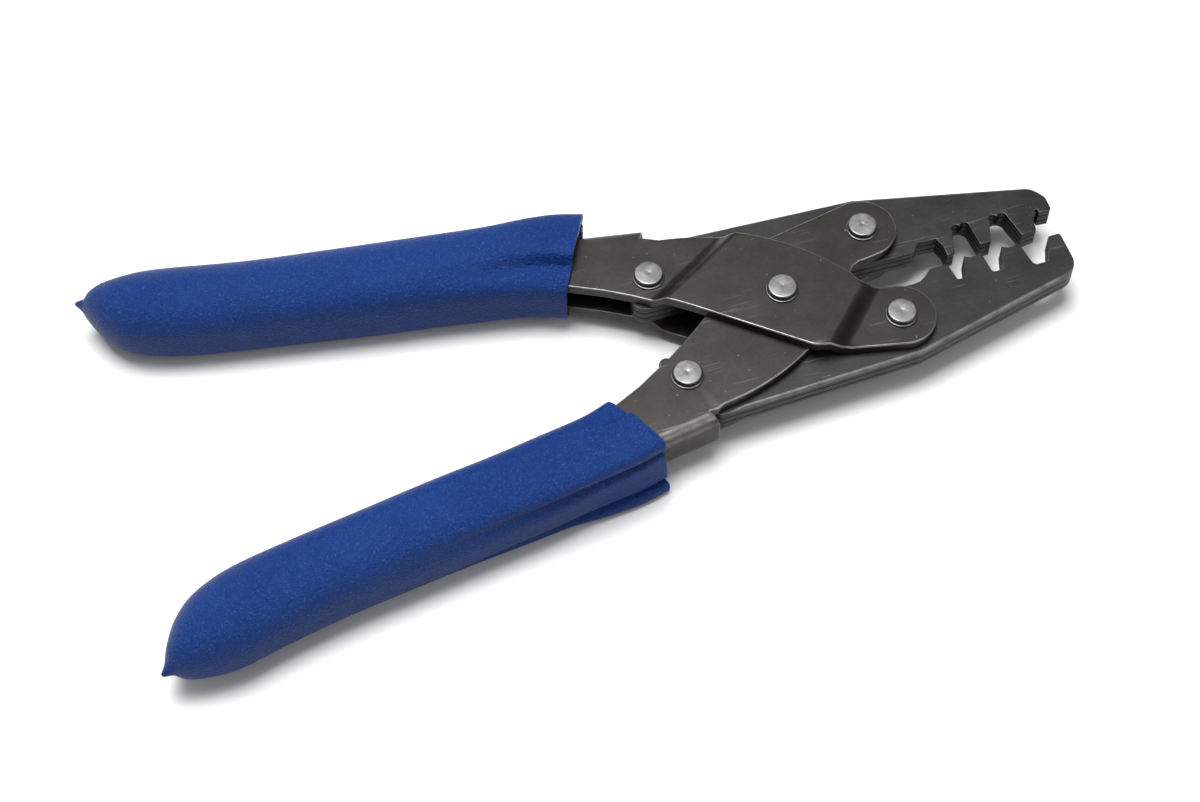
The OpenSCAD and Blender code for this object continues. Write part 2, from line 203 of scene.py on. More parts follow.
def oxide_steel(name, dark, light, worn, rough, scratch_scale, mark_share):
    """Black-oxide sheet steel: mottled, faintly scratched, and rubbed bright along its edges, with painted
    highlight on the handles' fold and painted shade in the seams between the jaws' plates, as the mesh
    attributes give them.
    """
    s = Surface(name)
    mottle = s.ramp(s.noise(95, 5, 0.62), 0.34, 0.66)
    fine = s.ramp(s.noise(1500, 3, 0.6), 0.3, 0.7)
    tone = s.maths("ADD", s.maths("MULTIPLY", mottle, 0.65), s.maths("MULTIPLY", fine, 0.35))
    colour = s.mix(tone, dark, light)
    marks = s.scratches(scratch_scale, 0.5, 0.66, 0.72)
    for turn in (-0.9, 1.9, 2.8):
        marks = s.maths("MAXIMUM", marks, s.scratches(scratch_scale * 0.9, turn, 0.67, 0.73))
    flecks = s.ramp(s.noise(900, 2, 0.5), 0.73, 0.78)
    # Rubbed edges: real wear, and on the handles' fold also a painted highlight carried by the edge
    # attribute
    rubbed_and_highlight = s.maths("MULTIPLY", s.attribute("edge"), s.ramp(s.noise(330, 3, 0.6), 0.25, 0.6, 0.35, 1.0))
    light_marks = s.maths("MAXIMUM", s.maths("MULTIPLY", marks, mark_share),
                          s.maths("MULTIPLY", flecks, 0.34))
    wear_and_highlight = s.maths("MAXIMUM", light_marks, rubbed_and_highlight)
    # Painted shade: edges where two jaw plates meet are darkened nearly to black, for the shade in the
    # crevice between them
    painted_seam_shade = s.maths("MULTIPLY", s.attribute("seam"), 0.95)
    s.set(colour=s.mix(painted_seam_shade, s.mix(wear_and_highlight, colour, worn), (0.003, 0.003, 0.003)))
    s.set(metal=s.ramp(wear_and_highlight, 0.0, 1.0, 0.75, 0.95))
    gloss = s.ramp(s.noise(210, 4, 0.6), 0.3, 0.7, rough - 0.05, rough + 0.07)
    s.set(rough=s.maths("SUBTRACT", gloss, s.maths("MULTIPLY", wear_and_highlight, 0.1)))
    grain = s.bump(s.noise(2600, 3, 0.6), 0.00002, 0.5)
    waves = s.bump(s.noise(120, 2, 0.5), 0.00012, 0.35, grain)
    s.set(normal=s.bump(marks, 0.00002, 0.4, waves))
    return s.material


def bright_steel(name):
    """Turned and hammered rivet steel, with faint rings, dents and a dull film."""
    s = Surface(name)
    blotch = s.ramp(s.noise(420, 4, 0.65), 0.32, 0.68)
    specks = s.ramp(s.noise(1900, 3, 0.6), 0.6, 0.72)
    colour = s.mix(blotch, (0.11, 0.11, 0.108), (0.22, 0.22, 0.214))
    colour = s.mix(s.maths("MULTIPLY", specks, 0.45), colour, (0.1, 0.1, 0.1))
    side = s.attribute("side")
    s.set(colour=s.mix(s.maths("MULTIPLY", side, 0.6), colour, (0.17, 0.17, 0.17)))
    s.set(metal=1.0)
    s.set(rough=s.ramp(s.noise(800, 4, 0.6), 0.25, 0.75, 0.3, 0.5))
    dents = s.bump(s.noise(650, 3, 0.6), 0.00006, 0.45)
    rings = s.maths("SINE", s.maths("MULTIPLY", s.attribute("radius"), 34000.0), 0.0)
    s.set(normal=s.bump(rings, 0.00001, 0.16, dents))
    return s.material


def plain_bush_steel(name):
    """Plain turned steel for the bushes, which hardly show."""
    s = Surface(name)
    s.set(colour=s.mix(s.ramp(s.noise(500, 3, 0.6), 0.3, 0.7), (0.2, 0.2, 0.2), (0.33, 0.33, 0.32)))
    s.set(metal=1.0)
    s.set(rough=s.ramp(s.noise(900, 3, 0.6), 0.3, 0.7, 0.34, 0.5))
    s.set(normal=s.bump(s.noise(5200, 1, 0.5, stretch=(0.04, 0.04, 1)), 0.00001, 0.3))
    return s.material


def dipped_vinyl(name):
    """Blue dipped vinyl: satin, with a grainy orange-peel skin and a paler rim."""
    s = Surface(name)
    broad = s.ramp(s.noise(45, 3, 0.55), 0.3, 0.7)
    fine = s.ramp(s.noise(1500, 3, 0.65), 0.3, 0.7)
    tone = s.maths("ADD", s.maths("MULTIPLY", broad, 0.5), s.maths("MULTIPLY", fine, 0.5))
    colour = s.mix(tone, (0.0036, 0.0225, 0.117), (0.0061, 0.0335, 0.165))
    grains = s.ramp(s.noise(2500, 2, 0.6), 0.56, 0.72)
    colour = s.mix(s.maths("MULTIPLY", grains, 0.5), colour, (0.045, 0.105, 0.35))
    pits = s.ramp(s.noise(2100, 2, 0.6), 0.56, 0.72)
    colour = s.mix(s.maths("MULTIPLY", pits, 0.5), colour, (0.002, 0.012, 0.07))
    rim = s.maths("MULTIPLY", s.attribute("rim"), s.ramp(s.noise(700, 3, 0.6), 0.25, 0.75, 0.4, 1.0))
    s.set(colour=s.mix(rim, colour, (0.03, 0.055, 0.15)))
    s.set(rough=s.ramp(s.noise(1700, 3, 0.6), 0.3, 0.7, 0.27, 0.42))
    s.set(specular=0.11)
    skin = s.maths("ADD", s.noise(2500, 3, 0.6), s.maths("MULTIPLY", s.cells(2300), 0.3))
    peel = s.bump(skin, 0.00042, 1.0)
    s.set(normal=s.bump(s.noise(130, 2, 0.5), 0.0003, 0.25, peel))
    return s.material


handle_steel = oxide_steel("handle_steel", (0.0174, 0.0157, 0.0138), (0.0316, 0.0293, 0.0264),
                           (0.33, 0.32, 0.31), 0.42, 55, 0.12)
jaw_steel = oxide_steel("jaw_steel", (0.0188, 0.0188, 0.0188), (0.0338, 0.0338, 0.0338),
                        (0.24, 0.24, 0.24), 0.42, 80, 0.26)
rivet_steel = bright_steel("rivet_steel")
bush_steel = plain_bush_steel("bush_steel")
grip_vinyl = dipped_vinyl("grip_vinyl")


# ---- Steel sheets --------------------------------------------------------------------
#
# Every plate is a sheet: an outline with holes, a thickness, and edges that are
# rounded at both faces. The handles' sheets are drawn flat and then folded and stepped.

# Steps in the rounding of an edge
ROUND_STEPS = 4
# How near the drawing's edge an extra point may lie
EXTRA_MARGIN = 0.3
# Thickness of the handle plates and of one plate in a jaw
PLATE_T = 2.4
JAW_PLATE_T = 1.7
# Rounding of the edges: at the handles' outer and inner faces, at a jaw plate's fine edges,
# and at its outer face, with what the die-rolled back edge adds
EDGE_OUTSIDE = 0.36
EDGE_INSIDE = 0.15
EDGE_FINE = 0.2
EDGE_ROLLED = (0.12, 0.72)
# A jaw's back edge lies further than this from the centreline, and fades in over this length
BACK_EDGE_FROM = 9.2
BACK_EDGE_FADE = 2.6
# Longest side of a jaw plate's outline
JAW_SIDE = 1.5


def turned_outwards(mesh, merge=0.0):
    """Welds vertices closer than merge, drops loose ones, and makes the faces look outwards."""
    work = bmesh.new()
    work.from_mesh(mesh)
    if merge:
        bmesh.ops.remove_doubles(work, verts=work.verts, dist=merge)
    bmesh.ops.delete(work, geom=[v for v in work.verts if not v.link_faces], context="VERTS")
    bmesh.ops.recalc_face_normals(work, faces=work.faces)
    work.to_mesh(mesh)
    work.free()
    mesh.update()


def inside(point, loop):
    """Whether a point lies inside a closed loop."""
    x, y = point
    result = False
    for (x0, y0), (x1, y1) in zip(loop, loop[1:] + loop[:1]):
        if (y0 > y) != (y1 > y) and x < x0 + (y - y0) * (x1 - x0) / (y1 - y0):
            result = not result
    return result


def edge_distance(point, loops):
    """Distance from a point to the nearest side of some closed loops."""
    x, y = point
    best = 1e9
    for loop in loops:
        for (x0, y0), (x1, y1) in zip(loop, loop[1:] + loop[:1]):
            dx, dy = x1 - x0, y1 - y0
            size = dx * dx + dy * dy
            t = min(1.0, max(0.0, ((x - x0) * dx + (y - y0) * dy) / size)) if size else 0.0
            best = min(best, math.hypot(x - x0 - t * dx, y - y0 - t * dy))
    return best


def split_long(loop, longest):
    """Adds points so that no side is longer than longest(point)."""
    result = []
    for p, q in zip(loop, loop[1:] + loop[:1]):
        length = math.hypot(q[0] - p[0], q[1] - p[1])
        middle = ((p[0] + q[0]) / 2, (p[1] + q[1]) / 2)
        count = max(1, math.ceil(length / longest(middle)))
        result += [(p[0] + (q[0] - p[0]) * k / count, p[1] + (q[1] - p[1]) * k / count)
                   for k in range(count)]
    return result


def eased(loop, width_of):
    """Drops the points beside each sharp outer corner that its rounding would pass over."""
    dropped = set()
    count = len(loop)
    for i, p in enumerate(loop):
        if i in dropped:
            continue
        a, b = loop[i - 1], loop[(i + 1) % count]
        turn = math.atan2((p[0] - a[0]) * (b[1] - p[1]) - (p[1] - a[1]) * (b[0] - p[0]),
                          (p[0] - a[0]) * (b[0] - p[0]) + (p[1] - a[1]) * (b[1] - p[1]))
        if turn < math.radians(25):
            continue
        reach = 1.5 * width_of(p) * math.tan(min(turn, 2.4) / 2)
        for way in (1, -1):
            k = i + way
            while math.dist(p, loop[k % count]) < reach:
                dropped.add(k % count)
                k += way
    kept = [p for i, p in enumerate(loop) if i not in dropped]
    return eased(kept, width_of) if dropped else kept


def inward_vectors(loop, on_join):
    """At each corner, the vector that moves both sides inwards by one; points on a join slide along it."""
    vectors = []
    for i, p in enumerate(loop):
        before, after = loop[i - 1], loop[(i + 1) % len(loop)]
        normals = []
        for a, b in ((before, p), (p, after)):
            size = math.hypot(b[0] - a[0], b[1] - a[1])
            if not (on_join(a) and on_join(b)):
                normals.append((-(b[1] - a[1]) / size, (b[0] - a[0]) / size))
        if not normals:
            vectors.append((0.0, 0.0))
        elif on_join(p):
            vectors.append((math.copysign(1.0, normals[0][0]), 0.0))
        elif len(normals) == 1:
            vectors.append(normals[0])
        else:
            sum_x, sum_y = normals[0][0] + normals[1][0], normals[0][1] + normals[1][1]
            share = 2 / max(0.7, sum_x * sum_x + sum_y * sum_y)
            vectors.append((sum_x * share, sum_y * share))
    return vectors


def filled(loops, extra):
    """Triangles between closed loops, through extra points. Returns the corners' indices."""
    points, sides = [], []
    for loop in loops:
        first = len(points)
        points += [Vector(p) for p in loop]
        sides += [(first + k, first + (k + 1) % len(loop)) for k in range(len(loop))]
    points += [Vector(p) for p in extra]
    made, _, triangles, origins, _, _ = delaunay_2d_cdt(points, sides, [], 1, 1e-6)
    result = []
    for triangle in triangles:
        middle = sum((made[k] for k in triangle), Vector((0, 0))) / 3
        if inside(middle, loops[0]) and not any(inside(middle, hole) for hole in loops[1:]):
            result.append([origins[k][0] for k in triangle])
    return result


def sheet_parts(loops, thickness, point, width_over, width_under, extra=(), on_join=lambda p: False,
                painted_highlight=lambda p: 0.0):
    """Vertices, faces and edge shares of a sheet. point(s, t, depth) places a point of the drawing,
    and the last argument gives, for a point p, how much painted highlight its upper face gets there."""
    verts, faces, wear_and_highlight = [], [], []
    profile = []
    for k in range(ROUND_STEPS + 1):
        profile.append((math.pi / 2 * k / ROUND_STEPS, "over"))
    for k in range(ROUND_STEPS, -1, -1):
        profile.append((math.pi / 2 * k / ROUND_STEPS, "under"))
    caps = {"over": [], "under": []}
    cap_index = {"over": [], "under": []}
    for loop in loops:
        vectors = inward_vectors(loop, on_join)
        rows = []
        for step, (angle, face) in enumerate(profile):
            width_of = width_over if face == "over" else width_under
            row, flat = [], []
            for p, move in zip(loop, vectors):
                width = width_of(p)
                offset = width * (1 - math.sin(angle))
                depth = width * (1 - math.cos(angle))
                place_s, place_t = p[0] + move[0] * offset, p[1] + move[1] * offset
                row.append(len(verts))
                flat.append((place_s, place_t))
                verts.append(point(place_s, place_t, depth if face == "over" else thickness - depth))
                rounded = math.sin(2 * angle) * min(1.0, width / 0.25) if angle > 0 else 0.0
                # Upper-face edges carry wear, and any painted highlight that the last argument gives
                wear_and_highlight.append(max(rounded, painted_highlight(p)) if face == "over" else rounded)
            rows.append(row)
            if step in (0, len(profile) - 1):
                caps[face].append(flat)
                cap_index[face] += row
        for upper, lower in zip(rows, rows[1:]):
            for i in range(len(loop)):
                n = (i + 1) % len(loop)
                if not (on_join(loop[i]) and on_join(loop[n])):
                    faces.append((upper[i], upper[n], lower[n], lower[i]))
    for face, depth in (("over", 0.0), ("under", thickness)):
        kept = [p for p in extra if inside(p, caps[face][0])
                and not any(inside(p, hole) for hole in caps[face][1:])
                and edge_distance(p, caps[face]) > EXTRA_MARGIN]
        index = list(cap_index[face])
        for p in kept:
            index.append(len(verts))
            verts.append(point(p[0], p[1], depth))
            wear_and_highlight.append(painted_highlight(p) if face == "over" else 0.0)
        faces += [tuple(index[k] for k in triangle) for triangle in filled(caps[face], kept)]
    return verts, faces, wear_and_highlight


def sheet_mesh(name, verts, faces, shares, merge=0.0, seams=()):
    """A shaded mesh. Rounded edges are worn, in the attribute edge, which also carries any painted
    highlight given for them; but at the heights in seams, where a neighbour lies against the sheet,
    they get painted shade for the crevice there instead, in the attribute seam."""
    mesh = bpy.data.meshes.new(name + "_work")
    mesh.from_pydata(verts, [], faces)
    hidden = [any(abs(v.z - z) < 0.3 * MM for z in seams) for v in verts]
    wear_and_highlight = [0.0 if h else s for h, s in zip(hidden, shares)]
    # Edges at those heights get painted shade instead of wear
    painted_seam_shade = [min(1.0, 3 * s) if h else 0.0 for h, s in zip(hidden, shares)]
    mesh.attributes.new("edge", "FLOAT", "POINT").data.foreach_set("value", wear_and_highlight)
    mesh.attributes.new("seam", "FLOAT", "POINT").data.foreach_set("value", painted_seam_shade)
    turned_outwards(mesh, merge)
    shade(mesh, 40)
    carrier = link(bpy.data.objects.new(name + "_work", mesh))
    even = carrier.modifiers.new("even", "WEIGHTED_NORMAL")
    even.keep_sharp = True
    even.weight = 100
    bpy.context.view_layer.update()
    seen = carrier.evaluated_get(bpy.context.evaluated_depsgraph_get())
    finished = bpy.data.meshes.new_from_object(seen)
    finished.name = name
    bpy.data.objects.remove(carrier)
    return finished


def arc(centre, radius, start, stop, step=4):
    count = max(2, math.ceil(abs(stop - start) / step))
    return [(centre[0] + radius * math.cos(math.radians(start + (stop - start) * k / count)),
             centre[1] + radius * math.sin(math.radians(start + (stop - start) * k / count)))
            for k in range(count + 1)]


# ---- Handles -------------------------------------------------------------------------

# Where the folded edge starts, at the end away from the grip, and its angle and bend radius
FOLD_AT = {1: (-32.6, 13.1), -1: (-31.8, 12.5)}
FOLD_ANGLE = math.radians(18)
FOLD_R = 2.8
FOLD_ARC = FOLD_R * math.pi / 2
# Painted highlight along the middle of the bend, standing in for the light that it reflects: its strength
FOLD_PAINTED_HIGHLIGHT = 0.5
# Points of the drawing further along the fold than this aren't folded
FOLD_LIMIT = 1.5
BEND_ROWS = 8
# In the flat drawing: where the fold begins, and the middle line of its web
FOLD_START = -FOLD_R
WEB_MIDDLE = FOLD_START + FOLD_ARC + PLATE_TOP - FOLD_R
# Inner corner of the steel's end, inside the grip, and its inner edge from there to the crossing
STEEL_END_U = -132
STEEL_END_V = -29.4
INNER_EDGE = [(-52, -6.2), (-46, -5.6), (-38, -5.35), (-32, -5.6), (-24, -6.5), (-18, -7.5)]
FRONT_PIN = (26, 0)
REAR_PIN = (-29, 0)
# Centre of the long arc of the outer edge, and of the inner handle's nub on the inner edge
BULGE_CENTRE = (-10.5, -37.4)
NUB = (-30, -5.1)
SHANK_HOLE_R = 2.22
# Steps of the outer handle: a point on the upper bend, and the direction that rises
STEPS = [((-18.3, 3.4), math.radians(-31)), ((14.4, -4.4), math.radians(163.7))]
STEP_RUN = 2.6
STEP_BEND = 0.8
STEP_RISE = RAISED_TOP - PLATE_TOP
# Rows of points across a step: their distances past its upper bend
STEP_ROWS = (-3.45, -3.2, -2.95, -2.7, -2.45, -2.2, -1.9, -1.6, -1.3,
             -1.0, -0.7, -0.45, -0.2, 0.05, 0.3, 0.55, 0.85)


def to_flat(u, v, side):
    """Flat-drawing coordinates, along and across the fold, of a point of a handle."""
    du, dv = u - FOLD_AT[side][0], v - FOLD_AT[side][1]
    return (du * math.cos(FOLD_ANGLE) + dv * math.sin(FOLD_ANGLE),
            -du * math.sin(FOLD_ANGLE) + dv * math.cos(FOLD_ANGLE))


def from_flat(a, b, side):
    """The point of a handle that lies at flat-drawing coordinates, before it is folded."""
    return (FOLD_AT[side][0] + a * math.cos(FOLD_ANGLE) - b * math.sin(FOLD_ANGLE),
            FOLD_AT[side][1] + a * math.sin(FOLD_ANGLE) + b * math.cos(FOLD_ANGLE))


def past_step(u, v, step):
    """Distance past a step's upper bend, towards the raised side."""
    (step_u, step_v), angle = step
    return (u - step_u) * math.cos(angle) + (v - step_v) * math.sin(angle)


def soft_rise(x):
    """From 0 to 1 over the run of a step, with rounded bends."""
    def corner(distance):
        if distance <= -STEP_BEND:
            return 0.0
        if distance >= STEP_BEND:
            return distance
        return (distance + STEP_BEND) ** 2 / (4 * STEP_BEND)

    return (corner(x + STEP_RUN) - corner(x)) / STEP_RUN


def rise(u, v, side):
    """How far the outer handle's plate is raised over the inner handle."""
    if side < 0:
        return 0.0
    return STEP_RISE * soft_rise(past_step(u, v, STEPS[0])) * soft_rise(past_step(u, v, STEPS[1]))


def handle_outline(side):
    """The flat drawing of one handle plate with its half of the fold."""
    plan = (arc(FRONT_PIN, 7.6, -72, 112)
            + [(20.6, 6.2), (18.8, 5.5), (17.2, 5.4), (15.6, 6.0)]
            + arc(BULGE_CENTRE, 51, 61, 110.5, 1.5) + [(-30.2, 10.3)])
    flat = [to_flat(u, v, side) for u, v in plan]
    flat.append((FOLD_START * math.tan(FOLD_ANGLE), FOLD_START))
    for k in range(1, 13):
        turn = math.pi / 2 * k / 12
        flat.append((FOLD_R * (math.sin(turn) - 1) * math.tan(FOLD_ANGLE), FOLD_START + FOLD_R * turn))
    flat.append((0.0, WEB_MIDDLE))
    far = (STEEL_END_U - FOLD_AT[side][0]) / math.cos(FOLD_ANGLE)
    flat += [(far, WEB_MIDDLE), (far, FOLD_START + FOLD_ARC), (far, FOLD_START)]
    inner = [(STEEL_END_U, STEEL_END_V)] + INNER_EDGE[:3]
    if side < 0:
        inner += arc(NUB, 1.7, 205, 330, 12) + INNER_EDGE[4:]
    else:
        inner += INNER_EDGE[3:]
    flat += [to_flat(u, v, side) for u, v in inner + arc((8.7, -8.7), 4, 257, 285)]

    def longest(p):
        if p[0] < -25:
            return 12.0
        u, v = from_flat(*p, side)
        near = min(abs(past_step(u, v, step) + STEP_RUN / 2) for step in STEPS)
        return 0.3 if side > 0 and near < STEP_RUN else 2.5

    return split_long(flat, longest)


def handle_place(side, flip):
    """The function that folds and steps the flat drawing; flip is -1 for the lower plate."""
    def point(a, b, depth):
        u, v = from_flat(a, b, side)
        if b <= FOLD_START or a > FOLD_LIMIT:
            z = PLATE_TOP - depth + rise(u, v, side)
        else:
            turn = min(math.pi / 2, (b - FOLD_START) / FOLD_R)
            radius = FOLD_R - depth
            across = FOLD_START + radius * math.sin(turn)
            z = PLATE_TOP - FOLD_R + radius * math.cos(turn) - max(0.0, b - FOLD_START - FOLD_ARC)
            u, v = from_flat(a, across, side)
        return handle_point(u, v, z * flip, side)
    return point


def handle_mesh(name, side):
    """Both plates of a handle and the fold that joins them."""
    outline = handle_outline(side)
    holes = [[to_flat(*p, side) for p in arc(pin, SHANK_HOLE_R, 360, 7.5, 7.5)]
             for pin in ((0, 0), FRONT_PIN, REAR_PIN)]
    # Rows of points along the bend: close together where it shows, further apart in the grip
    extra = []
    for k in range(BEND_ROWS + 1):
        b = FOLD_START + FOLD_ARC * k / BEND_ROWS
        extra += [(-0.8 - 1.2 * j, b) for j in range(18)] + [(-26 - 8.0 * j, b) for j in range(10)]
    if side > 0:
        for (step_u, step_v), angle in STEPS:
            for past in STEP_ROWS:
                for j in range(-22, 23):
                    u = step_u + past * math.cos(angle) - j * math.sin(angle)
                    v = step_v + past * math.sin(angle) + j * math.cos(angle)
                    extra.append(to_flat(u, v, side))

    def width_over(p):
        return EDGE_OUTSIDE

    def width_under(p):
        return EDGE_INSIDE

    def on_join(p):
        return abs(p[1] - WEB_MIDDLE) < 1e-6

    # Painted highlight on the fold's bend, strongest halfway round it, for the light that it reflects
    def painted_highlight(p):
        turn = (p[1] - FOLD_START) / FOLD_R
        folded = 0 < turn < math.pi / 2 and p[0] < FOLD_LIMIT
        return FOLD_PAINTED_HIGHLIGHT * math.sin(2 * turn) if folded else 0.0

    verts, faces, wear_and_highlight = [], [], []
    for flip in (1, -1):
        part = sheet_parts([outline] + holes, PLATE_T, handle_place(side, flip), width_over,
                           width_under, extra, on_join, painted_highlight)
        first = len(verts)
        verts += part[0]
        faces += [tuple(first + k for k in face) for face in part[1]]
        wear_and_highlight += part[2]
    return sheet_mesh(name, verts, faces, wear_and_highlight, merge=0.001 * MM)


for name, side in (("outer", 1), ("inner", -1)):
    place(name + "_handle_sheet", handle_mesh(name + "_handle_sheet", side), name + "_lever",
          [name + "_handle"], handle_steel)


# ---- Jaws ------------------------------------------------------------------------------


def top_loops(node):
    """The closed loops round a jaw plate's top face, in millimetres; the outline comes first."""
    work = bmesh.new()
    work.from_mesh(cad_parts[node].data)
    bmesh.ops.remove_doubles(work, verts=work.verts, dist=0.002 * MM)
    work.normal_update()
    high = max(v.co.z for v in work.verts)
    flat = {f for f in work.faces if f.normal.z > 0.9 and f.calc_center_median().z > high - 0.01 * MM}
    after = {}
    for face in flat:
        for corner in face.loops:
            if sum(f in flat for f in corner.edge.link_faces) == 1:
                after[corner.vert] = corner.link_loop_next.vert
    loops = []
    while after:
        start = min(after, key=lambda v: (round(v.co.x, 6), round(v.co.y, 6)))
        loop, here = [], start
        while here in after:
            loop.append((here.co.x / MM, here.co.y / MM))
            here = after.pop(here)
        loops.append(loop)
    work.free()
    loops.sort(key=lambda loop: -max(x for x, y in loop) + min(x for x, y in loop))
    return [without_straight_points(loop) for loop in loops]


def without_straight_points(loop):
    """Drops the points that lie on a straight side."""
    kept = []
    for i, p in enumerate(loop):
        a, b = loop[i - 1], loop[(i + 1) % len(loop)]
        cross = (p[0] - a[0]) * (b[1] - p[1]) - (p[1] - a[1]) * (b[0] - p[0])
        size = math.hypot(p[0] - a[0], p[1] - a[1]) * math.hypot(b[0] - p[0], b[1] - p[1])
        if size > 0 and abs(cross) / size > 0.002:
            kept.append(p)
    return kept


def jaw_plate(jaw, which):
    """One plate of a jaw. The outer faces have a die-rolled back edge; all other edges are fine."""
    node = f"{jaw}_{which}_plate"
    low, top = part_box(node)[0].z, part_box(node)[1].z
    # Heights where a neighbouring plate lies: edges there get painted shade for the crevice
    seams = {"top": [low], "middle": [low, top], "bottom": [top]}[which]

    def rolled(p):
        back = smoothstep((abs(p[1]) - BACK_EDGE_FROM) / BACK_EDGE_FADE)
        return EDGE_ROLLED[0] + EDGE_ROLLED[1] * back * smoothstep((p[0] + 20) / 4)

    def fine(p):
        return EDGE_FINE

    def point(x, y, depth):
        return Vector((x * MM, y * MM, top - depth * MM))

    loops = [split_long(loop, lambda p: JAW_SIDE) for loop in top_loops(node)]
    loops[0] = eased(loops[0], lambda p: max(rolled(p), fine(p)))
    verts, faces, wear_and_highlight = sheet_parts(loops, JAW_PLATE_T, point, rolled if which == "top" else fine,
                                     rolled if which == "bottom" else fine)
    name = node + "_sheet"
    place(name, sheet_mesh(name, verts, faces, wear_and_highlight, seams=seams), jaw, [node], jaw_steel)


for jaw in ("crimper_jaw", "anvil_jaw"):
    for which in ("top", "middle", "bottom"):
        jaw_plate(jaw, which)


# ---- Rivets ------------------------------------------------------------------------

# Points round a rivet, and its shank's share of its head's diameter
TURNS = 96
SHANK_SHARE = 4.4 / 7
HEAD_H = 1.7
# A head's top is a little slanted, from this height above its seat, and is lowered by the
# slant at this radius so that it stays within the head's height
SLANT_FROM = 0.9
SLANT_R = 3.3


def centre_of(node):
    low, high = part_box(node)
    return (low + high) / 2


def head_profile(seat, formed):
    """(radius, height) points from the plate to the axis; a formed head has a small dimple."""
    top = seat + HEAD_H
    corner = 0.4
    rise_points = [(3.42, 0.0), (3.5, 0.06), (3.5, 0.26), (3.46, 0.34), (3.36, 0.38), (3.22, 0.42),
                   (3.16, 0.52), (3.17, 0.8), (3.2, 1.2)]
    points = [(r, seat + h) for r, h in rise_points]
    points += arc((3.2 - corner, top - corner - 0.04), corner, 12, 90, 12)
    points += [(2.6, top - 0.03), (2.0, top - 0.005), (1.3, top)]
    if formed:
        points += [(0.5, top - 0.005), (0.38, top - 0.02), (0.22, top - 0.04), (0.1, top - 0.05)]
    return points + [(0.0, points[-1][1])]


def rivet(node, body, seat, tilt):
    """A rivet lathed about its node's axis: formed head on top, plain head below, shank between."""
    middle = centre_of(node)
    shank = (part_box(node)[1].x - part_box(node)[0].x) / 2 / MM * SHANK_SHARE
    upper = head_profile(seat, True)
    lower = head_profile(seat, False)
    points = upper[::-1] + [(shank, seat), (shank, -seat)] + [(r, -h) for r, h in lower]
    verts, faces, radii = [], [], []
    for r, h in points:
        count = TURNS if r > 0 else 1
        for k in range(count):
            a = 2 * math.pi * k / TURNS
            if h > seat + SLANT_FROM:
                height = h - abs(tilt) * SLANT_R + tilt * r * math.cos(a + seat)
            else:
                height = h
            verts.append((middle.x + r * math.cos(a) * MM, middle.y + r * math.sin(a) * MM,
                          MID_Z + height * MM))
            radii.append(r * MM)
    start = 0
    for i in range(len(points) - 1):
        here = TURNS if points[i][0] > 0 else 1
        there = TURNS if points[i + 1][0] > 0 else 1
        after = start + here
        for k in range(TURNS):
            n = (k + 1) % TURNS
            if here == 1:
                faces.append((start, after + n, after + k))
            elif there == 1:
                faces.append((start + k, start + n, after))
            else:
                faces.append((start + k, start + n, after + n, after + k))
        start = after
    mesh = bpy.data.meshes.new(node + "_turned")
    mesh.from_pydata(verts, [], faces)
    turned_outwards(mesh)
    mesh.attributes.new("radius", "FLOAT", "POINT").data.foreach_set("value", radii)
    sides = [1.0 if abs(p.normal.z) < 0.6 else 0.0 for p in mesh.polygons]
    mesh.attributes.new("side", "FLOAT", "FACE").data.foreach_set("value", sides)
    shade(mesh, 50)
    return place(node + "_turned", mesh, body, [node], rivet_steel)


rivet("centre_rivet", "outer_lever", RAISED_TOP, 0.008)
rivet("outer_handle_front_rivet", "outer_lever", PLATE_TOP, 0.012)
rivet("outer_handle_rear_rivet", "outer_lever", PLATE_TOP, -0.01)
rivet("inner_handle_front_rivet", "inner_lever", PLATE_TOP, 0.01)
rivet("inner_handle_rear_rivet", "inner_lever", PLATE_TOP, -0.014)

for bush in ("centre_bush", "crimper_jaw_bush", "anvil_jaw_bush"):
    cad_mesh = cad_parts[bush]
    for material_slot in cad_mesh.material_slots:
        material_slot.material = bush_steel


# ---- Grips -------------------------------------------------------------------------

# From the mouth to the tip: place along the handle, inner side, outer side, share of
# the half thickness, squareness of the inner half and of the outer half
GRIP_STATIONS = [
    (-45.6, -7.7, 13.2, 1, 2.7, 5.0), (-52, -8.3, 12.0, 1, 2.8, 4.6), (-58, -9.8, 10.0, 1, 2.9, 4.2),
    (-64, -11.7, 7.6, 1, 2.9, 3.8), (-72, -14.3, 4.7, 1, 2.9, 3.4), (-85, -18.9, 0.1, 1, 2.9, 3.0),
    (-100, -23.9, -5.2, 1, 2.8, 2.7), (-115, -28.9, -10.4, 1, 2.7, 2.5),
    (-125, -32.0, -13.3, 1, 2.6, 2.4), (-132, -33.6, -15.1, 0.97, 2.4, 2.3),
    (-137.5, -33.9, -16.8, 0.92, 2.3, 2.2), (-142, -32.6, -19.0, 0.83, 2.1, 2.1),
    (-145.5, -30.4, -21.0, 0.66, 2, 2), (-147.8, -28.5, -22.9, 0.42, 2, 2),
    (-148.9, -27.4, -24.3, 0.2, 2, 2), (-150.2, -26.5, -25.1, 0.11, 2, 2),
    (-150.9, -26.1, -25.5, 0.05, 2, 2)]
MOUTH_U = GRIP_STATIONS[0][0]
HALF_THICK = 9.25
# Points on the upper half of a section, which the lower half mirrors, and on the finer
# curves that it is resampled from
HALF_POINTS = 100
CURVE_POINTS = 1200
EVEN_POINTS = 700
RIM_RADIUS = 0.35
# Squareness of the inner half at the mouth
MOUTH_SQUARE = 4.6
# Clearance of the steel inside the grip, and how far behind the mouth the grip reaches it
STEEL_FIT = 0.06
LIP_DEPTH = 1.6
# Beside its mouth the inner part of a grip lies close to the steel: how much thinner it
# is there, as a share, and over what length that fades, for each side
HUG = {1: (0.27, 38), -1: (0.22, 13)}
